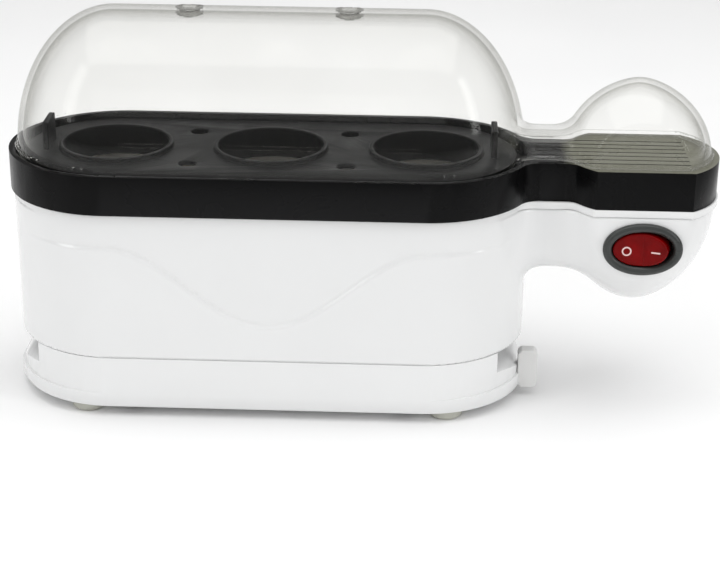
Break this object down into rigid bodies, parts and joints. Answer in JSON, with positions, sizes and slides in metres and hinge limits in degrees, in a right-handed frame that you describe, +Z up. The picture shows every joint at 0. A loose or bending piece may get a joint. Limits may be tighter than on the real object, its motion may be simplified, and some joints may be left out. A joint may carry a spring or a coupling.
{
  "type": "egg cooker",
  "caption": "Electric egg cooker: clear domed lid over a stadium-shaped white body, black rim, side pod with a red rocker switch.",
  "frame": {"origin": "on the table, under the middle of the whole outline: body and pod together", "axes": "+X along the body towards the side pod, +Y to the back, +Z up"},
  "size_m": [0.2356, 0.072, 0.131],
  "materials": {
    "clear_plastic": "clear, glossy",
    "black_plastic": "satin",
    "white_gloss": "glossy",
    "foot_rubber": "matte",
    "grey_plastic": "satin",
    "black_rubber": "matte",
    "zinc_steel": "zinc plated",
    "pan_steel": "brushed, heat stained",
    "silicone": "matte",
    "element_steel": "heat darkened",
    "ceramic": "glazed ceramic",
    "phenolic": "moulded phenolic and steel cap",
    "glass_sleeve": "woven glass sleeve",
    "nylon": "moulded",
    "brass": "plain",
    "slate_plastic": "satin",
    "lamp_glass": "clear neon lamp",
    "red_plastic": "translucent, glossy",
    "mark_white": "printed",
    "wire_brown": "insulation",
    "wire_red": "insulation",
    "wire_blue": "insulation",
    "wire_white": "insulation",
    "wire_green": "insulation"
  },
  "bodies": {
    "root": {"rim_collar": "black_plastic", "pod_trim": "white_gloss", "body_housing": "white_gloss", "base_cover": "white_gloss", "rubber_feet": "foot_rubber", "cord_clip": "grey_plastic", "cord_bush": "black_rubber", "base_screws": "zinc_steel", "rim_screws": "zinc_steel", "heating_pan": "pan_steel", "pan_gasket": "silicone", "pan_screws": "zinc_steel", "heating_element": "element_steel", "element_terminals": "ceramic", "element_clamps": "zinc_steel", "clamp_nuts": "zinc_steel", "thermostat": "phenolic", "thermostat_clip": "zinc_steel", "thermal_fuse": "zinc_steel", "fuse_sleeve": "glass_sleeve", "terminal_block": "nylon", "terminal_screws": "brass", "switch_frame": "slate_plastic", "switch_body": "black_plastic", "switch_terminals": "brass", "indicator_lamp": "lamp_glass", "wire_live": "wire_brown", "wire_switched": "wire_red", "wire_neutral": "wire_blue", "wire_link": "wire_white", "wire_earth": "wire_green", "wire_lamp": "wire_blue"},
    "lid": {"lid": "clear_plastic"},
    "egg_tray": {"egg_tray": "black_plastic"},
    "rocker": {"rocker": "red_plastic", "rocker_marks": "mark_white", "spring_plunger": "zinc_steel"},
    "contact_lever": {"contact_lever": "brass"}
  },
  "joints": [
    {"name": "lid_lift", "type": "slide", "parent": "root", "child": "lid", "axis": [0, 0, 1], "range_m": [0, 0.12]},
    {"name": "egg_tray_lift", "type": "slide", "parent": "root", "child": "egg_tray", "axis": [0, 0, 1], "range_m": [0, 0.042]},
    {"name": "rocker_tilt", "type": "hinge", "parent": "root", "child": "rocker", "pos_m": [0.0919, -0.0156, 0.0585], "axis": [0, 0, 1], "range_deg": [0, 16]},
    {"name": "lever_rock", "type": "hinge", "parent": "root", "child": "contact_lever", "pos_m": [0.0919, -0.0066, 0.0605], "axis": [0, 0, 1], "range_deg": [-10, 0]}
  ],
  "couplings": [
    {"joint": "egg_tray_lift", "follows": "lid_lift", "ratio": 0.35},
    {"joint": "lever_rock", "follows": "rocker_tilt", "ratio": -0.625}
  ]
}
